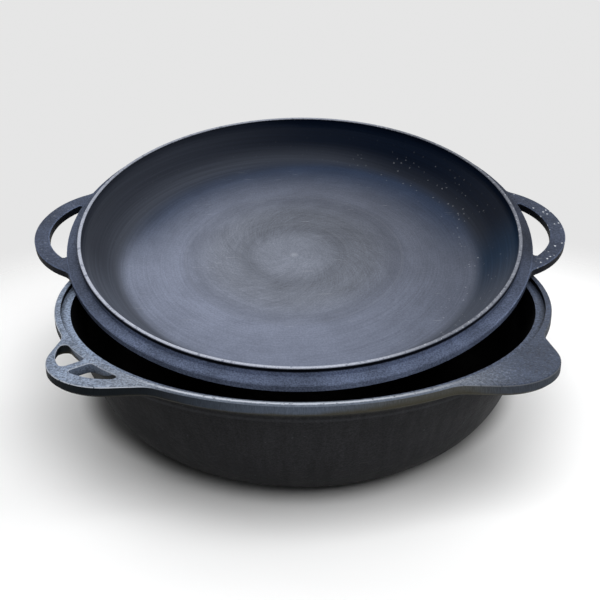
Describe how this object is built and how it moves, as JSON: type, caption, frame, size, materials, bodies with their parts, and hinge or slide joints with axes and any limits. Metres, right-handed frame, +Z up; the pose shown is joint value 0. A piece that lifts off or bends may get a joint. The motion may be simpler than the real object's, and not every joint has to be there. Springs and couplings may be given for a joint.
{
  "type": "kazan with a frying pan lid",
  "caption": "Wide cast iron kazan with a stepped rim and four flat ears, and a two-handled frying pan that serves as its lid, resting open on the rim.",
  "frame": {"origin": "middle of the pot's flat base, on the surface it stands on", "axes": "+Z up, the open front of the pot towards -Y, the lid slid back towards +Y"},
  "size_m": [0.3996, 0.4048, 0.1706],
  "materials": {
    "pot_iron": "seasoned, satin",
    "pan_iron": "turned and oiled"
  },
  "bodies": {
    "root": {"kazan_pot": "pot_iron", "lid_pan": "pan_iron"}
  },
  "joints": []
}
